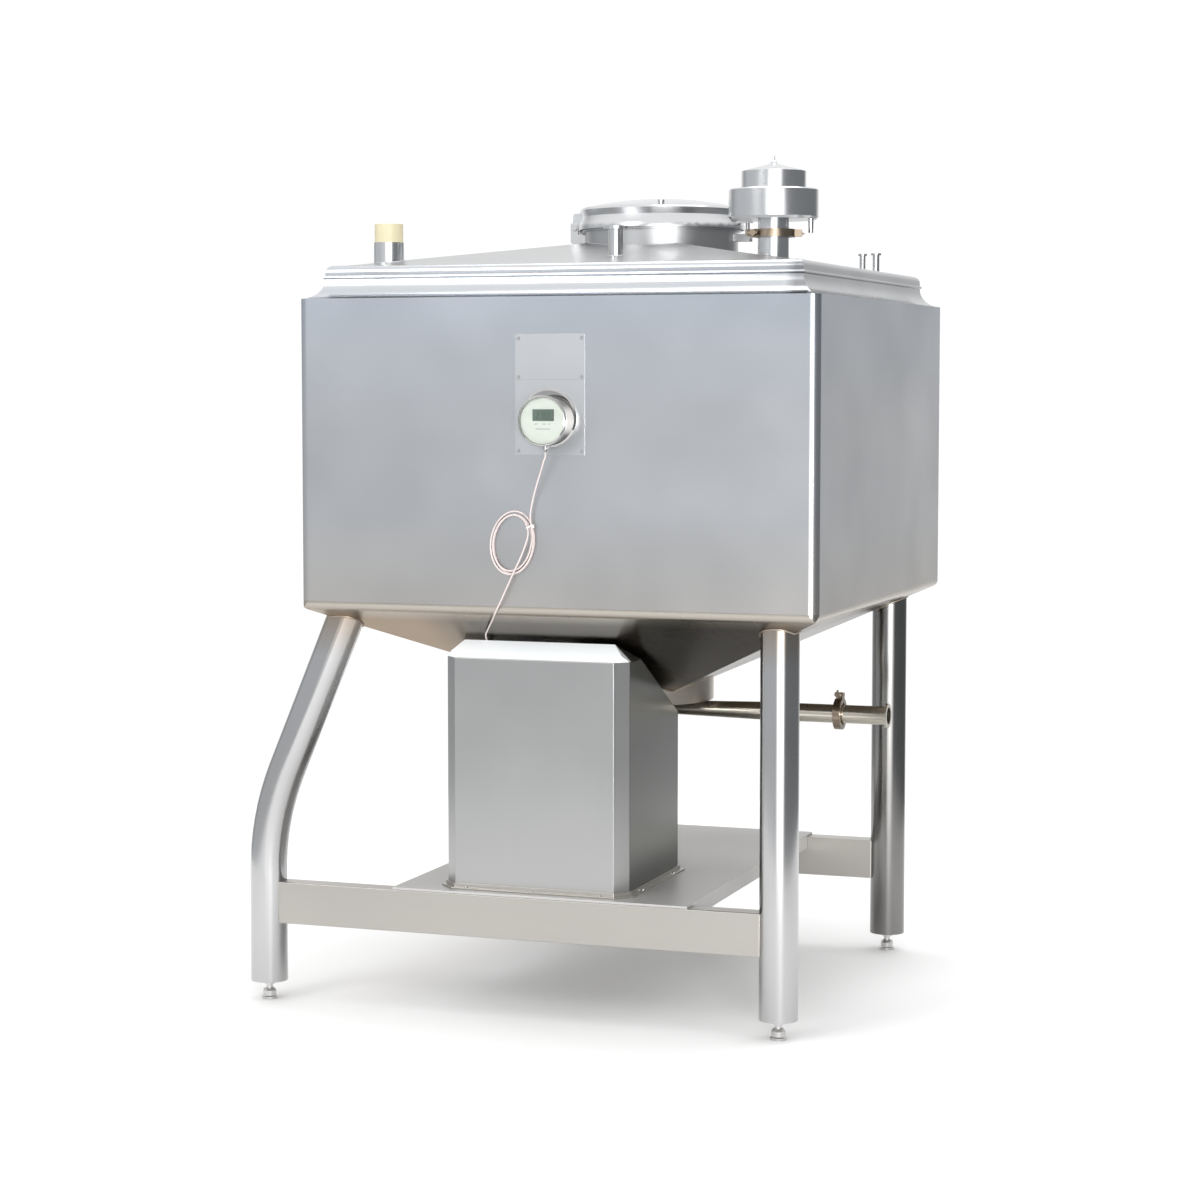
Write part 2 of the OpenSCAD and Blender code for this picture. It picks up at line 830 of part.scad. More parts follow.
module wing_nut() at_tank() {
  color(steel) at_manhole() translate([clamp_x, 0, prong_z + 1.5]) difference() {
    union() {
      cylinder(r1 = 10, r2 = 8, h = 16);
      for (s = [-1, 1]) {
        translate([0, s * 12, 14]) rotate([0, 90, 0]) cylinder(r = 6.5, h = 4, center = true);
        translate([-2, s > 0 ? 4 : -14, 8]) cube([4, 10, 9]);
      }
    }
    translate([0, 0, -1]) cylinder(r = 5 + run_gap, h = 40);
  }
}

// ---- Breather and ports ------------------------------------------------

module at_breather() {
  translate([breather_xy[0], breather_xy[1], 0]) children();
}

module breather_neck() at_tank() {
  color(steel) neck(breather_xy, neck_r, 3, breather_joint_z - 0.2, 44.8, 6);
}

module breather_bowl() at_tank() {
  color(steel) at_breather() union() {
    ring(neck_r - 3, 44.8, breather_joint_z + 0.2, breather_joint_z + 6);
    ring(neck_r - 3, neck_r, breather_joint_z + 0.2, bowl_z0);
    rotate_extrude($fn = 72) polygon([[neck_r - 3, bowl_z0], [bowl_r - 6, bowl_z0], [bowl_r, bowl_z0 + 6],
      [bowl_r, bowl_z1 - 3], [bowl_r - 3, bowl_z1], [66, bowl_z1], [66, bowl_z1 - 2], [bowl_r - 4, bowl_z1 - 2],
      [bowl_r - 2, bowl_z1 - 4], [bowl_r - 2, bowl_z0 + 7], [bowl_r - 7, bowl_z0 + 2], [neck_r - 3, bowl_z0 + 2]]);
    difference() {
      rotate([0, 0, 20]) translate([bowl_r - 18, 0, bowl_z0 - 30]) cylinder(r1 = 5.5, r2 = 6.5, h = 31);
      rotate([0, 0, 20]) translate([bowl_r - 18, 0, bowl_z0 - 31]) cylinder(r = 4, h = 33);
    }
  }
}

module breather_filter() at_tank() {
  color([0.92, 0.92, 0.90]) at_breather() ring(40, 62, bowl_z0 + 2, bowl_z1 - 4);
}

module breather_cap() at_tank() {
  z0 = bowl_z1 + 0.3;
  color(steel) at_breather() rotate_extrude($fn = 72) polygon([[0, z0 + 60], [0, z0 + 78], [2, z0 + 76],
    [3.5, z0 + 66], [7, z0 + 62], [9, z0 + 58], [40, z0 + 50], [68, z0 + 43], [75, z0 + 40], [75, z0],
    [73, z0], [73, z0 + 38], [66, z0 + 41], [9, z0 + 55], [0, z0 + 57]]);
}

module spray_port() at_tank() {
  xy = spray_xy;
  ball_z = 1640;
  color(steel) union() {
    neck(xy, 17, 2, 1847, 28, 7);
    translate([xy[0], xy[1], 0]) difference() {
      union() {
        ring(9, 12, ball_z + 24, 1843);
        ring(11, 16, 1837, 1843);
        translate([0, 0, ball_z]) sphere(r = 32);
      }
      translate([0, 0, ball_z]) sphere(r = 30);
      translate([0, 0, ball_z]) cylinder(r = 9, h = 60);
    }
  }
}

module roof_ports() at_tank() {
  color(steel) union() {
    neck(side_xy, neck_r, 3, 1815, neck_r, 0);
    neck(small_xy[0], 7.5, 2, 1811, 11.5, 5);
    neck(small_xy[1], 8.5, 2, 1811, 13, 5);
  }
}

module port_plug() at_tank() {
  color([0.90, 0.87, 0.76]) translate([side_xy[0], side_xy[1], 0]) difference() {
    union() {
      translate([0, 0, 1815.3]) cylinder(r = 33.8, h = 43);
      translate([0, 0, 1790]) cylinder(r = neck_r - 3.4, h = 26);
    }
    translate([0, 0, 1824]) cylinder(r = 29, h = 50);
  }
}

// ---- Front plates, thermometer and its cable ---------------------------

plate_w = 168;
plate_split = 1491;

module front_plate(z0, z1) {
  translate([-plate_w / 2, gauge_back, z0]) cube([plate_w, plate_front, z1 - z0]);
}

module nameplate() at_tank() {
  color(dull) front_plate(plate_split + 0.5, 1595);
}

module gauge_plate() at_tank() {
  color(dull) front_plate(1322, plate_split);
}

module plate_screws() at_tank() {
  color(steel) for (x = [-76, 76]) {
    for (z = [1331, 1499, 1586]) {
      translate([x, gauge_back, z]) rotate([90, 0, 0]) cylinder(r1 = 4.5, r2 = 3.5, h = 2);
    }
  }
}

module at_gauge() {
  translate([0, gauge_back, gauge_z]) rotate([90, 0, 0]) children();
}

module thermometer_housing() at_tank() {
  color(steel) union() {
    translate([0, 0, 6]) at_gauge() rotate_extrude($fn = 72) polygon([[0, 0], [66, 0], [66, 6], [62, 9], [0, 9]]);
    at_gauge() rotate_extrude($fn = 72) polygon([[0, 0], [bezel_r - 5, 0], [bezel_r - 5, 36],
      [bezel_r - 4, 40], [bezel_r - 3, 42], [bezel_r - 3, 45], [0, 45]]);
    translate([0, gauge_back - 28, gauge_z - 64]) cylinder(r = 6, h = 20);
  }
}

module thermometer_bezel() at_tank() {
  b = bezel_r;
  color(steel) at_gauge() rotate_extrude($fn = 72) polygon([[b - 6, 45], [b, 45], [b, 50],
    [b - 2, 54], [b - 4, 55], [b - 5, 52], [b - 6, 50]]);
}

coil_c = [-90, 1122];
coil_y = -half - 9.2;
coil_t = 9;
exit_p = [0, gauge_back - 28, gauge_z - 64];

// Cable centre lines: from the gland down to the tie, and on to the probe pocket.
upper_route = [exit_p, [0, -655, 1322], [-5, -654, 1308], [-12, -650, 1290], [-21, -645, 1268],
  [-30, -640, 1245], [-37, -637, 1222], [-42, -636, 1200], [-44, -636, 1180], [-41, -636, 1166]];
lower_route = [[-41, -636.5, 1166], [-48, -637, 1140], [-58, -637, 1112], [-69, -637, 1086], [-81, -637, 1062],
  [-91.5, -637, 1040], [-103, -637, 1016], [-114.5, -636.5, 992], [-125, -635, 972], [-136, -627, 955],
  [-148, -607, 943], [-165, -578, 929.5], [-185, -542, 914], [-205, -505, 899], [-214, -480, 887.5],
  [-219, -456, 875], [-221, -440, 867.5]];

module sensor_cable() at_tank() {
  color([0.90, 0.86, 0.85]) union() {
    swept_tube(upper_route, cable_d / 2);
    swept_tube(lower_route, cable_d / 2);
  }
}

// Oval band that the coiled length of cable fits.
module oval(a, b) {
  square([2 * a, 2 * (b - a)], center = true);
  translate([0, b - a]) circle(a);
  translate([0, a - b]) circle(a);
}

module cable_coil() at_tank() {
  color([0.90, 0.86, 0.85]) translate([coil_c[0], coil_y + coil_t, coil_c[1]]) rotate([90, 0, 0])
    linear_extrude(coil_t) difference() {
      oval(54, 73);
      oval(44, 63);
    }
}

outer_shell();
top_curb();
roof();
bottom_cladding();
insulation();
inner_vessel();
sump();
leg_front_left();
leg_front_right();
leg_back_left();
leg_back_right();
leg_end_plugs();
front_rail();
back_rail();
base_plate();
foot_lock_nuts();
foot_front_left();
foot_front_right();
foot_back_left();
foot_back_right();
motor_cover();
cover_skirt();
cover_screws();
motor_body();
motor_bracket();
motor_shaft();
motor_pulley();
drive_belts();
spindle_pulley();
spindle_housing();
spindle_bearings();
spindle_shaft();
impeller();
stator_ring();
shaft_seal();
belt_guard();
discharge_pipe();
pipe_gasket();
discharge_spout();
tri_clamps();
manhole_collar();
lid_gasket();
manhole_lid();
hinge_pin();
swing_bolt();
wing_nut();
breather_neck();
breather_bowl();
breather_filter();
breather_cap();
spray_port();
roof_ports();
port_plug();
nameplate();
gauge_plate();
plate_screws();
thermometer_housing();
thermometer_bezel();
sensor_cable();
cable_coil();
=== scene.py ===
"""Looks for the square milk tank: materials, welds, thermometer face, cable, floor, lights and camera."""

import json
import math

import bmesh
import bpy
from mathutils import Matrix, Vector


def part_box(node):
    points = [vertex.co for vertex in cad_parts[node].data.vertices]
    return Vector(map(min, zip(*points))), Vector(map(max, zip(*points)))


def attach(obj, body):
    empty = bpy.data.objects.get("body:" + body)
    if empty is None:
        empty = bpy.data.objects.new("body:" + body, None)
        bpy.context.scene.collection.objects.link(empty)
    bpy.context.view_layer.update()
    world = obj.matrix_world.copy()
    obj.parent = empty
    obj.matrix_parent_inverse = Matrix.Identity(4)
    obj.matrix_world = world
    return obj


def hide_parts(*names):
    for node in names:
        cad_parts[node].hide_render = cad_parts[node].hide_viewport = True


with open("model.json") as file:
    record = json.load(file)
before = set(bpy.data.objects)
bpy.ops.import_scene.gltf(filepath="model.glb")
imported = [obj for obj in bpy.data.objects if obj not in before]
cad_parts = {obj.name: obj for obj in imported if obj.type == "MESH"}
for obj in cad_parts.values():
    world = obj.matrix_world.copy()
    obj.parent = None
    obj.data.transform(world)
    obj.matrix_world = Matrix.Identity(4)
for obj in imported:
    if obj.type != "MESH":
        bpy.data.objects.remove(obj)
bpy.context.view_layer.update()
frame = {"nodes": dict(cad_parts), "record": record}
NODES = frame["nodes"]
SHELL_LOW, SHELL_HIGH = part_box("outer_shell")
AXIS = (SHELL_LOW + SHELL_HIGH) / 2
HALF = (SHELL_HIGH.x - SHELL_LOW.x) / 2
MM = 0.001


def at(x, y, z):
    """A point given in millimetres from the tank's upright axis and the floor, in the row frame."""
    return Vector((AXIS.x + x * MM, AXIS.y + y * MM, z * MM))


# ---- Camera --------------------------------------------------------------

def make_camera():
    data = bpy.data.cameras.new("camera")
    data.sensor_width = 36
    data.lens = 84.07
    data.clip_end = 100
    camera = bpy.data.objects.new("camera", data)
    camera.location = at(2167, -6480, 1490)
    camera.rotation_euler = (math.radians(90 - 4.35), 0, math.radians(19.47))
    bpy.context.scene.collection.objects.link(camera)
    bpy.context.scene.camera = camera


make_camera()


# ---- Materials -----------------------------------------------------------

class Shader:
    """A node material with one Principled shader, and short calls to add nodes."""

    def __init__(self, name, colour, roughness, metallic=0.0):
        self.material = bpy.data.materials.new(name)
        self.material.use_nodes = True
        self.tree = self.material.node_tree
        self.bsdf = self.tree.nodes["Principled BSDF"]
        self.bsdf.inputs["Base Color"].default_value = (*colour, 1)
        self.bsdf.inputs["Roughness"].default_value = roughness
        self.bsdf.inputs["Metallic"].default_value = metallic
        self.bsdf.inputs["Specular IOR Level"].default_value = 0.4
        self.place = self.node("ShaderNodeTexCoord").outputs["Object"]

    def node(self, kind, inputs=None, **settings):
        n = self.tree.nodes.new(kind)
        for key, value in settings.items():
            setattr(n, key, value)
        for key, value in (inputs or {}).items():
            if isinstance(value, bpy.types.NodeSocket):
                self.tree.links.new(value, n.inputs[key])
            else:
                n.inputs[key].default_value = value
        return n

    def noise(self, scale, detail=4.0, stretch=(1, 1, 1), roughness=0.55):
        place = self.node("ShaderNodeMapping", {"Vector": self.place, "Scale": stretch}).outputs[0]
        return self.node("ShaderNodeTexNoise", {"Vector": place, "Scale": scale, "Detail": detail,
                                                "Roughness": roughness}).outputs[0]

    def ramp(self, value, low, high, out_low=0.0, out_high=1.0):
        return self.node("ShaderNodeMapRange", {"Value": value, "From Min": low, "From Max": high,
                                                "To Min": out_low, "To Max": out_high}).outputs[0]

    def along(self, axis, start, end):
        """0 at start and 1 at end along X, Y or Z, in metres in the row frame."""
        return self.ramp(self.node("ShaderNodeSeparateXYZ", {0: self.place}).outputs[axis], start, end)

    def region(self, limits, share=1.0):
        for limit in limits:
            share = self.times(self.along(*limit), share)
        return share

    def mix(self, share, a, b):
        as_colour = [c if isinstance(c, bpy.types.NodeSocket) else (*c, 1) for c in (a, b)]
        n = self.node("ShaderNodeMix", {0: share, 6: as_colour[0], 7: as_colour[1]}, data_type="RGBA")
        return n.outputs[2]

    def times(self, a, b):
        return self.node("ShaderNodeMath", {0: a, 1: b}, operation="MULTIPLY").outputs[0]

    def colour(self, socket):
        self.tree.links.new(socket, self.bsdf.inputs["Base Color"])

    def roughness(self, socket):
        self.tree.links.new(socket, self.bsdf.inputs["Roughness"])

    def bump(self, height, strength, distance=0.001):
        n = self.node("ShaderNodeBump", {"Height": height, "Strength": strength, "Distance": distance})
        self.tree.links.new(n.outputs[0], self.bsdf.inputs["Normal"])


GRAIN = {"level": (0.6, 0.6, 60), "upright": (60, 60, 0.6), "none": (8, 8, 8)}


def steel(name, light, dark, roughness, grain="level", bump=0.05, tint=None, metallic=1.0, pale=None):
    """Stainless sheet: brushed grain, soft cloudy marks, tints as (colour, share, limits), most of which paint
    reflections and shade, and one pale matt region that is a painted highlight.
    Limits are the (axis, start, end) ramps that bound a region."""
    s = Shader(name, light, roughness, metallic)
    clouds = s.noise(1.6, 2)
    marks = s.noise(3.4, 2)
    lines = s.noise(9, 3, GRAIN[grain])
    colour = s.mix(s.ramp(clouds, 0.3, 0.75, 0, 0.6), light, dark)
    colour = s.mix(s.ramp(lines, 0.35, 0.75, 0, 0.15), colour, dark)
    for shade, share, limits in tint or []:
        colour = s.mix(s.region(limits, share), colour, shade)
    # The pale region is a painted highlight: near-white and not metallic, so it shows as brightly lit.
    if pale:
        share = s.region(pale)
        colour = s.mix(share, colour, (0.93, 0.96, 0.98))
        s.tree.links.new(s.ramp(share, 0, 1, metallic, 0.0), s.bsdf.inputs["Metallic"])
    s.colour(colour)
    rough = s.ramp(marks, 0.3, 0.75, roughness - 0.02, roughness + 0.05)
    s.roughness(rough)
    s.bump(lines, bump, 0.0004)
    return s.material


def plain(name, light, dark, roughness, scale=30, bump=0.1, metallic=0.0):
    """Plastic, paint, rubber or foam with a little mottle and grain."""
    s = Shader(name, light, roughness, metallic)
    s.colour(s.mix(s.ramp(s.noise(scale / 6, 4), 0.35, 0.7), light, dark))
    grain = s.noise(scale * 8, 3)
    s.roughness(s.ramp(s.noise(scale, 4), 0.3, 0.7, roughness - 0.05, roughness + 0.08))
    s.bump(grain, bump, 0.0005)
    return s.material


COVER_LOW, COVER_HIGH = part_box("motor_cover")
# Painted reflections on the walls: bluish towards the top, and a warm floor reflection towards the bottom.
WALL_PAINTED_REFLECTIONS = [((0.42, 0.465, 0.53), 0.6, [("Z", 1.40, 1.68)]), ((0.51, 0.48, 0.44), 0.7, [("Z", 1.20, 0.96)])]
# Painted light on the underside: the floor reflection darkens to the right, a paler painted band lies near the
# walls, and a painted shadow sits above and right of the motor cover.
UNDER_REFLECTION_AND_SHADOW = [((0.20, 0.165, 0.12), 0.6, [("X", AXIS.x - 0.30, AXIS.x + 0.25)]),
              ((0.46, 0.43, 0.39), 0.9, [("Z", 0.930, 0.965)]),
              ((0.06, 0.052, 0.043), 0.9, [("X", AXIS.x - 0.36, AXIS.x - 0.22), ("Z", 0.958, 0.930)])]
# Painted shade: the motor cover's right face is darkened.
COVER_SIDE_SHADE = [((0.15, 0.155, 0.145), 0.9, [("X", COVER_HIGH.x - 0.0012, COVER_HIGH.x - 0.0004)])]
# Painted shade: the curb's right side is darkened.
CURB_SIDE_SHADE = [((0.30, 0.305, 0.315), 0.85, [("X", AXIS.x + 0.535, AXIS.x + 0.560)])]
LEG_TINT = [((0.36, 0.26, 0.165), 0.6, [("Z", 0.84, 0.93)])]
# The cover's sloping front edge starts at this height and is this deep.
BEVEL_FOOT, BEVEL_DEPTH = 0.843, 0.0407
# Painted highlight: the cover's sloping front edge is made pale and matt.
COVER_BEVEL_HIGHLIGHT = [("Z", BEVEL_FOOT - 0.0005, BEVEL_FOOT + 0.0005),
               ("Y", COVER_LOW.y + BEVEL_DEPTH + 0.0005, COVER_LOW.y + BEVEL_DEPTH - 0.0005)]
LOOKS = {
    "brushed_stainless": steel("satin_sheet", (0.58, 0.59, 0.60), (0.50, 0.51, 0.53), 0.32),
    "polished_stainless": steel("bright_sheet", (0.66, 0.67, 0.68), (0.58, 0.58, 0.59), 0.20, "none", 0.02),
    "dull_stainless": steel("dull_sheet", (0.48, 0.462, 0.43), (0.41, 0.39, 0.365), 0.36),
    "machined_steel": steel("machined", (0.62, 0.62, 0.62), (0.48, 0.47, 0.46), 0.22, "none"),
    "chrome": steel("chrome", (0.50, 0.495, 0.485), (0.42, 0.415, 0.40), 0.09, "none", 0.0),
    "plate_aluminium": steel("plate", (0.49, 0.50, 0.515), (0.43, 0.44, 0.455), 0.38),
    "foam": plain("foam", (0.80, 0.70, 0.42), (0.72, 0.60, 0.34), 0.9, 60, 0.4),
    "motor_paint": plain("motor_paint", (0.07, 0.11, 0.16), (0.05, 0.08, 0.12), 0.45),
    "cast_iron": plain("cast_iron", (0.06, 0.06, 0.065), (0.09, 0.085, 0.08), 0.55, 40, 0.3, 0.6),
    "black_rubber": plain("black_rubber", (0.015, 0.015, 0.015), (0.03, 0.03, 0.03), 0.7),
    "white_rubber": plain("white_rubber", (0.72, 0.71, 0.68), (0.62, 0.60, 0.56), 0.6),
    "cream_plastic": plain("cream_plastic", (0.70, 0.65, 0.46), (0.58, 0.52, 0.34), 0.45, 24),
    "cable_sleeve": plain("cable_sleeve", (0.66, 0.58, 0.56), (0.58, 0.50, 0.48), 0.35, 50),
}
WALL = steel("wall_sheet", (0.51, 0.52, 0.54), (0.455, 0.465, 0.48), 0.30, "level", 0.05, WALL_PAINTED_REFLECTIONS)
ROOF = steel("roof_sheet", (0.46, 0.465, 0.47), (0.41, 0.415, 0.42), 0.32, "none", 0.02)
# The underside's brown is a painted reflection of a brick floor on the stainless sheet.
UNDERSIDE_PAINTED_REFLECTION = steel("underside_painted_reflection", (0.30, 0.21, 0.125), (0.22, 0.155, 0.095), 0.26, "level", 0.05, UNDER_REFLECTION_AND_SHADOW)
SUMP = steel("sump_sheet", (0.50, 0.46, 0.40), (0.40, 0.36, 0.31), 0.28, "level", 0.03)
COVER = steel("cover_sheet", (0.455, 0.455, 0.45), (0.41, 0.41, 0.405), 0.30, "upright", 0.03, COVER_SIDE_SHADE,
              pale=COVER_BEVEL_HIGHLIGHT)
PLATE = steel("base_sheet", (0.47, 0.465, 0.455), (0.42, 0.41, 0.40), 0.40, "level", 0.03,
              metallic=0.4)
CLAMP = steel("clamp_steel", (0.33, 0.27, 0.21), (0.20, 0.155, 0.11), 0.26, "none", 0.03)
PIPE = steel("pipe_tube", (0.62, 0.59, 0.52), (0.50, 0.46, 0.39), 0.20, "none", 0.02)
CURB = steel("curb_sheet", (0.60, 0.62, 0.65), (0.54, 0.56, 0.59), 0.20, "none", 0.02, CURB_SIDE_SHADE)
LEG = steel("leg_tube", (0.53, 0.53, 0.535), (0.43, 0.425, 0.42), 0.15, "upright", 0.03, LEG_TINT)
# Painted shade: the back legs are a darker copy of the leg steel.
SHADED_BACK_LEG = steel("back_leg_painted_shade", (0.25, 0.247, 0.24), (0.20, 0.197, 0.19), 0.18, "upright", 0.03)
WELD = steel("weld", (0.42, 0.36, 0.30), (0.26, 0.19, 0.13), 0.35, "none", 0.3)
OWN_LOOK = {
    "outer_shell": WALL, "top_curb": CURB, "roof": ROOF, "manhole_collar": ROOF, "bottom_cladding": UNDERSIDE_PAINTED_REFLECTION,
    "sump": SUMP, "motor_cover": COVER, "base_plate": PLATE, "tri_clamps": CLAMP, "discharge_pipe": PIPE,
    "discharge_spout": PIPE,
    "leg_front_left": LEG, "leg_front_right": LEG, "leg_back_left": SHADED_BACK_LEG, "leg_back_right": SHADED_BACK_LEG,
}


SHARP_EDGE = math.radians(28)
BEVEL_ANGLE = math.radians(40)
MERGE = 2e-5


def smooth_group():
    """Geometry nodes that shade smooth, apart from edges sharper than SHARP_EDGE."""
    group = bpy.data.node_groups.new("smooth_by_angle", "GeometryNodeTree")
    group.interface.new_socket("Geometry", in_out="INPUT", socket_type="NodeSocketGeometry")
    group.interface.new_socket("Geometry", in_out="OUTPUT", socket_type="NodeSocketGeometry")
    start, end = group.nodes.new("NodeGroupInput"), group.nodes.new("NodeGroupOutput")
    faces = group.nodes.new("GeometryNodeSetShadeSmooth")
    edges = group.nodes.new("GeometryNodeSetShadeSmooth")
    edges.domain = "EDGE"
    edges.inputs["Shade Smooth"].default_value = False
    angle = group.nodes.new("GeometryNodeInputMeshEdgeAngle")
    sharp = group.nodes.new("FunctionNodeCompare")
    sharp.operation = "GREATER_THAN"
    sharp.inputs[1].default_value = SHARP_EDGE
    for a, b in ((start.outputs[0], faces.inputs[0]), (faces.outputs[0], edges.inputs[0]),
                 (angle.outputs[0], sharp.inputs[0]), (sharp.outputs[0], edges.inputs["Selection"]),
                 (edges.outputs[0], end.inputs[0])):
        group.links.new(a, b)
    return group


SMOOTH = smooth_group()


def soften(o, width):
    """Welds the mesh, rounds its sharp edges by width metres and shades it smooth."""
    weld = o.modifiers.new("weld", "WELD")
    weld.merge_threshold = MERGE
    if width:
        edge = o.modifiers.new("edge", "BEVEL")
        edge.width = width
        edge.segments = 2
        edge.limit_method = "ANGLE"
        edge.angle_limit = BEVEL_ANGLE
    o.modifiers.new("smooth", "NODES").node_group = SMOOTH
    o.modifiers.new("flat_faces", "WEIGHTED_NORMAL").keep_sharp = True


# How far the CAD nodes' sharp edges are rounded, in metres; the others stay as the CAD has them.
ROUNDING = {
    "motor_cover": 0.0015, "front_rail": 0.003, "back_rail": 0.003, "base_plate": 0.0012, "nameplate": 0.0006,
    "gauge_plate": 0.0006, "belt_guard": 0.0015, "cover_skirt": 0.001, "port_plug": 0.0015,
}


def dress_cad_nodes():
    slots = {p["node"]: p["material_slot"] for p in frame["record"]["subparts"]}
    for name, o in NODES.items():
        if "custom_normal" in o.data.attributes:
            o.data.attributes.remove(o.data.attributes["custom_normal"])
        o.data.materials.clear()
        o.data.materials.append(OWN_LOOK.get(name, LOOKS[slots[name]]))
        soften(o, ROUNDING.get(name, 0))


dress_cad_nodes()


# ---- Building calls ------------------------------------------------------

def add(name, data, material, body="tank"):
    o = bpy.data.objects.new(name, data)
    bpy.context.scene.collection.objects.link(o)
    data.materials.append(material)
    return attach(o, body)


def mesh_from(name, bm, material, body="tank", rounding=0.0):
    mesh = bpy.data.meshes.new(name)
    bmesh.ops.recalc_face_normals(bm, faces=bm.faces)
    bm.to_mesh(mesh)
    bm.free()
    o = add(name, mesh, material, body)
    soften(o, rounding)
    return o


def basis(direction):
    w = Vector(direction).normalized()
    u = w.orthogonal().normalized()
    return u, w.cross(u), w


def lathe_into(bm, origin, direction, profile, sides=64):
    """A closed turned solid. The profile is (radius, distance along direction) in metres."""
    u, v, w = basis(direction)
    rings = []
    for r, h in profile:
        centre = origin + w * h
        if r < 1e-6:
            rings.append([bm.verts.new(centre)])
        else:
            angles = [2 * math.pi * k / sides for k in range(sides)]
            rings.append([bm.verts.new(centre + u * r * math.cos(a) + v * r * math.sin(a)) for a in angles])
    for a, b in zip(rings, rings[1:]):
        for k in range(sides):
            corners = [a[k % len(a)], a[(k + 1) % len(a)], b[(k + 1) % len(b)], b[k % len(b)]]
            bm.faces.new(list(dict.fromkeys(corners)))


def block_into(bm, low, high):
    """A box between two corners."""
    size, centre = Vector(high) - Vector(low), (Vector(high) + Vector(low)) / 2
    made = bmesh.ops.create_cube(bm, size=1)["verts"]
    for v in made:
        v.co = Vector((v.co.x * size.x, v.co.y * size.y, v.co.z * size.z)) + centre


def curve_piece(name, routes, radius, material, closed=False, body="tank"):
    """A round wire through each route's points."""
    data = bpy.data.curves.new(name, "CURVE")
    data.dimensions = "3D"
    data.bevel_depth = radius
    data.bevel_resolution = 3
    data.resolution_u = 4
    data.use_fill_caps = True
    for route in routes:
        spline = data.splines.new("BEZIER")
        spline.bezier_points.add(len(route) - 1)
        for point, where in zip(spline.bezier_points, route):
            point.co = where
            point.handle_left_type = point.handle_right_type = "AUTO"
        spline.use_cyclic_u = closed
    return add(name, data, material, body)


# ---- Thermometer face ----------------------------------------------------

DIAL_R = 0.0518


def thermometer():
    low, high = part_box("thermometer_bezel")
    centre = Vector(((low.x + high.x) / 2, high.y, (low.z + high.z) / 2))
    out = Vector((0, -1, 0))
    dial = plain("dial_print", (0.74, 0.76, 0.70), (0.70, 0.72, 0.66), 0.4, 20, 0.02)
    bm = bmesh.new()
    lathe_into(bm, centre, out, [(0, 0.0002), (DIAL_R, 0.0002), (DIAL_R, 0.0030), (DIAL_R - 0.0018, 0.0030),
                                 (DIAL_R - 0.0026, 0.0016), (0, 0.0016)])
    mesh_from("thermometer_dial", bm, dial)

    screen = Vector((0.002, 0, 0.013))
    half_w, half_h = 0.0232, 0.0107
    middle = centre + screen + out * 0.0016
    bm = bmesh.new()
    block_into(bm, middle - Vector((half_w + 0.0025, 0.0012, half_h + 0.0025)),
               middle + Vector((half_w + 0.0025, 0, half_h + 0.0025)))
    border = plain("display_frame", (0.10, 0.13, 0.11), (0.07, 0.09, 0.08), 0.4)
    mesh_from("display_frame", bm, border, rounding=0.0008)
    bm = bmesh.new()
    block_into(bm, middle - Vector((half_w, 0.0018, half_h)), middle + Vector((half_w, 0.0008, half_h)))
    pane = plain("display_glass", (0.13, 0.17, 0.145), (0.15, 0.19, 0.165), 0.15, 20, 0.0)
    mesh_from("display_glass", bm, pane, rounding=0.0005)

    # Seven-bar digits: each bar's place, in half digits, and which way it is long.
    digits = ["abged", "abcdfg", "abcdef"]
    bars = {"a": (0, 1, 1, 0), "b": (1, 0.5, 0, 1), "c": (1, -0.5, 0, 1), "d": (0, -1, 1, 0),
            "e": (-1, -0.5, 0, 1), "f": (-1, 0.5, 0, 1), "g": (0, 0, 1, 0)}
    bm = bmesh.new()
    for k, lit in enumerate(digits):
        for bar in lit:
            x, z, wide, tall = bars[bar]
            c = middle + Vector(((k - 1) * 0.0130 + x * 0.0034, -0.0019, z * 0.0068))
            grow = Vector((0.0026 * wide + 0.0006, 0.0002, 0.0026 * tall + 0.0006))
            block_into(bm, c - grow, c + grow)
    ink = plain("display_ink", (0.01, 0.02, 0.012), (0.02, 0.03, 0.02), 0.4)
    mesh_from("display_digits", bm, ink)

    # Small printed marks under the display.
    bm = bmesh.new()
    for x, z, half in ((-0.016, -0.007, 0.0035), (0.004, -0.007, 0.0035), (0.016, -0.007, 0.0025),
                       (0.001, -0.018, 0.017)):
        mark = centre + out * 0.0016 + Vector((x, 0, z))
        block_into(bm, mark - Vector((half, 0.0002, 0.0007)), mark + Vector((half, 0.0002, 0.0007)))
    print_ink = plain("dial_ink", (0.25, 0.25, 0.24), (0.32, 0.32, 0.30), 0.5)
    mesh_from("dial_marks", bm, print_ink)

    glass = Shader("lens_glass", (0.96, 0.98, 0.97), 0.04)
    glass.bsdf.inputs["Transmission Weight"].default_value = 1.0
    glass.bsdf.inputs["IOR"].default_value = 1.2
    glass.roughness(glass.ramp(glass.noise(40, 4), 0.3, 0.7, 0.02, 0.06))
    bm = bmesh.new()
    lathe_into(bm, centre, out, [(0, 0.0042), (DIAL_R, 0.0042), (DIAL_R, 0.0050), (0.030, 0.0056), (0, 0.0058)])
    mesh_from("thermometer_lens", bm, glass.material)


thermometer()


# ---- Sensor cable --------------------------------------------------------

CABLE_R = 0.002
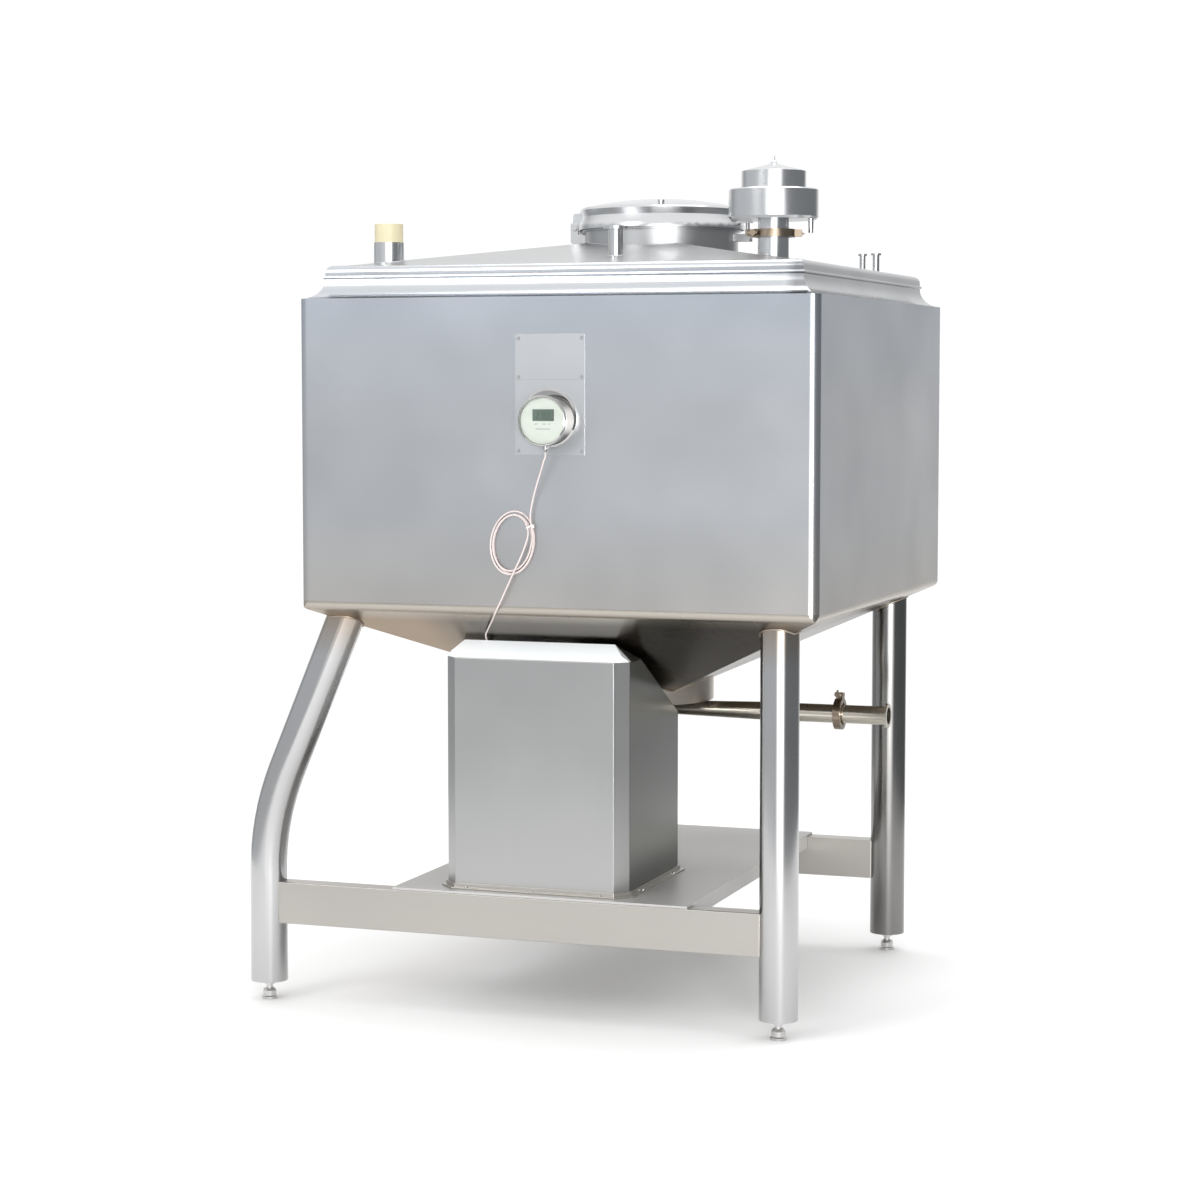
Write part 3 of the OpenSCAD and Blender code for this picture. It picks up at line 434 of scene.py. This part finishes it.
# The route in millimetres: down the wall to the coil, and from the coil to the probe's pocket.
UPPER = [(0, -655, 1336), (0, -655, 1322), (-5, -654, 1308), (-12, -650, 1290), (-21, -645, 1268),
         (-30, -640, 1245), (-37, -637, 1222), (-42, -636, 1200), (-44, -636, 1180)]
LOWER = [(-49, -637, 1149), (-52, -637, 1129), (-58, -637, 1112), (-69, -637, 1086), (-81, -637, 1062),
         (-91.5, -637, 1040), (-103, -637, 1016), (-114.5, -636.5, 992), (-125, -635, 972), (-136, -627, 955),
         (-148, -607, 943), (-165, -578, 929.5), (-185, -542, 914), (-205, -505, 899), (-214, -480, 887.5),
         (-219, -456, 875), (-221, -440, 867.5)]
COIL_CENTRE = (-90, 1122)
COIL_TALL, COIL_LEAN = 1.38, 0.08
COIL_TURNS = 2.94
OUTER, INNER = 52.0, 46.2
NEAR_WALL, MIDDLE, FRONT = -627.3, -631.9, -637.0
# Turns travelled, radius and depth; between these the coil changes evenly.
WIND = [(0.00, OUTER, -635.6), (0.12, OUTER, MIDDLE), (0.55, OUTER, MIDDLE), (0.85, OUTER, NEAR_WALL),
        (1.25, OUTER, NEAR_WALL), (1.50, INNER, NEAR_WALL), (1.97, INNER, NEAR_WALL), (2.12, INNER, MIDDLE),
        (2.78, INNER, MIDDLE), (COIL_TURNS, INNER, FRONT)]


def eased(rows, t, column):
    for a, b in zip(rows, rows[1:]):
        if a[0] <= t <= b[0]:
            share = (t - a[0]) / (b[0] - a[0])
            return a[column] + (b[column] - a[column]) * share * share * (3 - 2 * share)
    return rows[-1][column]


def coil():
    """Points of the oval winding, clockwise as seen from the front, from the tie and back to it."""
    per_turn, start = 24, math.radians(20)
    points = []
    for k in range(int(COIL_TURNS * per_turn) + 1):
        t = k / per_turn
        angle = start - 2 * math.pi * t
        r, y = eased(WIND, t, 1), eased(WIND, t, 2)
        rise = COIL_TALL * r * math.sin(angle)
        points.append((COIL_CENTRE[0] + r * math.cos(angle) + COIL_LEAN * rise, y, COIL_CENTRE[1] + rise))
    return points


def cable():
    route = [at(*p) for p in [*UPPER, *coil(), *LOWER]]
    cord = curve_piece("cable", [route], CABLE_R, LOOKS["cable_sleeve"])
    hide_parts("sensor_cable", "cable_coil")

    bm = bmesh.new()
    lathe_into(bm, at(0, -655, 1338), (0, 0, -1),
               [(0, 0), (0.0060, 0), (0.0060, 0.005), (0.0050, 0.0056), (0.0050, 0.008), (0.0030, 0.013),
                (0.0024, 0.014), (0, 0.014)], 6)
    gland = mesh_from("cable_gland", bm, LOOKS["machined_steel"], rounding=0.0004)

    # A flat strap closed round the strands where they pass side by side.
    middle, along = at(-46, -632.2, 1160), Vector((0.42, 0, -0.9)).normalized()
    u, v = Vector((0, -1, 0)), along.cross(Vector((0, -1, 0)))
    bm = bmesh.new()
    sides, loops = 40, []
    for k in range(sides):
        a = 2 * math.pi * k / sides
        spoke = u * math.cos(a) * 0.0072 + v * math.sin(a) * 0.0100
        push = spoke.normalized() * 0.0007
        loops.append([bm.verts.new(middle + spoke + push * s + along * w) for s, w in
                      ((-1, -0.0016), (1, -0.0016), (1, 0.0016), (-1, 0.0016))])
    for k in range(sides):
        a, b = loops[k], loops[(k + 1) % sides]
        for j in range(4):
            bm.faces.new([a[j], a[(j + 1) % 4], b[(j + 1) % 4], b[j]])
    block_into(bm, middle + Vector((0.0075, -0.0085, -0.0022)), middle + Vector((0.0125, -0.0035, 0.0022)))
    tie = mesh_from("cable_tie", bm, LOOKS["white_rubber"], rounding=0.0002)

    end, before = at(*LOWER[-1]), at(*LOWER[-2])
    bm = bmesh.new()
    lathe_into(bm, end + (before - end).normalized() * 0.008, end - before,
               [(0, 0), (0.003, 0), (0.004, 0.006), (0.006, 0.007), (0.006, 0.016), (0, 0.016)], 24)
    pocket = mesh_from("probe_gland", bm, LOOKS["machined_steel"], rounding=0.0003)


cable()


# ---- Welds ---------------------------------------------------------------

# In millimetres: the roof rises from ROOF_EDGE, and the bottom falls from the walls' lower edge.
ROOF_EDGE, ROOF_Z, ROOF_SLOPE = 545, 1758, 0.15
BOTTOM_Z, BOTTOM_SLOPE = 960, 0.455
LEG_R, SUMP_R = 44.5, 190


def roof_height(x, y):
    return ROOF_Z + ROOF_SLOPE * (ROOF_EDGE - max(abs(x), abs(y)))


def bottom_height(x, y):
    return BOTTOM_Z - BOTTOM_SLOPE * (HALF / MM - max(abs(x), abs(y)))


def meeting(surface, start, direction):
    """Point where a line in millimetres crosses a surface given as a height, going along direction."""
    near, far = 0.0, 900.0
    for _ in range(30):
        t = (near + far) / 2
        p = start + direction * t
        if (p.z - surface(p.x, p.y)) * direction.z < 0:
            near = t
        else:
            far = t
    return start + direction * near


def bead(surface, base, direction, radius, points=48):
    """Closed line where a tube of that radius meets the surface."""
    u, v, w = basis(direction)
    angles = [2 * math.pi * k / points for k in range(points)]
    return [at(*meeting(surface, base + (u * math.cos(a) + v * math.sin(a)) * radius, w)) for a in angles]


def welds():
    up = Vector((0, 0, 1))
    # Manhole collar, breather, spray port, plugged port and the two small ports: centre and radius.
    necks = [(55, 20, 188), (430, -300, 36), (80, -400, 17), (-470, -450, 36), (468, 400, 6.5), (508, 380, 8.5)]
    routes = [bead(roof_height, Vector((x, y, 1600)), up, r + 0.6) for x, y, r in necks]
    curve_piece("roof_welds", routes, 0.0016, LOOKS["brushed_stainless"], closed=True)
    straight = [(515, -530), (-515, 530), (515, 530)]
    routes = [bead(bottom_height, Vector((x, y, 300)), up, LEG_R + 0.8) for x, y in straight]
    # The cranked leg leaves its upright part on an arc, and then leans towards the tank.
    lean = math.radians(23)
    foot = Vector((-760 + 640 * (1 - math.cos(lean)), -530, 310 + 640 * math.sin(lean)))
    routes.append(bead(bottom_height, foot, Vector((math.sin(lean), 0, math.cos(lean))), LEG_R + 0.8))
    curve_piece("leg_welds", routes, 0.0028, WELD, closed=True)
    spots = [(SUMP_R * math.cos(a), SUMP_R * math.sin(a)) for a in (2 * math.pi * k / 72 for k in range(72))]
    ring = [at(x, y, bottom_height(x, y)) for x, y in spots]
    curve_piece("sump_weld", [ring], 0.0022, WELD, closed=True)


welds()


# ---- Floor, light and background ------------------------------------------

FLOOR_R = 3.0


def studio():
    bm = bmesh.new()
    bmesh.ops.create_circle(bm, cap_ends=True, radius=FLOOR_R, segments=96)
    mesh = bpy.data.meshes.new("floor")
    bm.to_mesh(mesh)
    bm.free()
    floor = bpy.data.objects.new("floor", mesh)
    bpy.context.scene.collection.objects.link(floor)
    pale = Shader("floor_paint", (0.92, 0.92, 0.92), 0.75)
    pale.colour(pale.mix(pale.ramp(pale.noise(1.5, 3), 0.3, 0.7), (0.92, 0.92, 0.92), (0.90, 0.90, 0.90)))
    mesh.materials.append(pale.material)

    world = bpy.data.worlds.new("studio")
    world.use_nodes = True
    bpy.context.scene.world = world
    tree = world.node_tree
    direction = tree.nodes.new("ShaderNodeTexCoord").outputs["Generated"]

    def towards(where, low, high):
        """0 to 1 as the direction turns towards a compass point, for a dot product from low to high."""
        dot = tree.nodes.new("ShaderNodeVectorMath")
        dot.operation = "DOT_PRODUCT"
        dot.inputs[1].default_value = where
        tree.links.new(direction, dot.inputs[0])
        spread = tree.nodes.new("ShaderNodeMapRange")
        spread.interpolation_type = "SMOOTHSTEP"
        spread.inputs["From Min"].default_value = low
        spread.inputs["From Max"].default_value = high
        tree.links.new(dot.outputs["Value"], spread.inputs["Value"])
        return spread.outputs[0]

    # In turn: the left side, overhead, a strip behind the camera and the white background.
    colour = (0.22, 0.23, 0.24, 1)
    for where, low, high, bright in (((-0.80, -0.60, 0), 0.25, 0.85, (0.67, 0.69, 0.71, 1)),
                                     ((0, 0, 1), 0.12, 0.55, (1.15, 1.15, 1.15, 1)),
                                     ((0.33, -0.94, 0), 0.88, 0.99, (3.2, 3.2, 3.2, 1)),
                                     ((-0.33, 0.94, 0), 0.66, 0.93, (1.04, 1.04, 1.04, 1))):
        mix = tree.nodes.new("ShaderNodeMix")
        mix.data_type = "RGBA"
        tree.links.new(towards(where, low, high), mix.inputs[0])
        if isinstance(colour, bpy.types.NodeSocket):
            tree.links.new(colour, mix.inputs[6])
        else:
            mix.inputs[6].default_value = colour
        mix.inputs[7].default_value = bright
        colour = mix.outputs[2]
    tree.links.new(colour, tree.nodes["Background"].inputs["Color"])
    bpy.context.scene.view_settings.view_transform = "Standard"

    def softbox(name, place, target, size, power, colour=(1, 1, 1)):
        data = bpy.data.lights.new(name, "AREA")
        data.shape = "RECTANGLE"
        data.size, data.size_y = size
        data.energy = power
        data.color = colour
        o = bpy.data.objects.new(name, data)
        o.location = place
        o.rotation_euler = (Vector(target) - Vector(place)).to_track_quat("-Z", "Y").to_euler()
        bpy.context.scene.collection.objects.link(o)

    aim = AXIS + Vector((0, 0, -0.2))
    softbox("key", (-3.0, -6.5, 4.5), aim, (2.5, 2.5), 120)
    softbox("top", (0.5, 0.5, 6.0), aim, (4, 4), 120)
    softbox("low", (2.9, -5.4, 0.9), aim, (0.9, 0.9), 150)


studio()
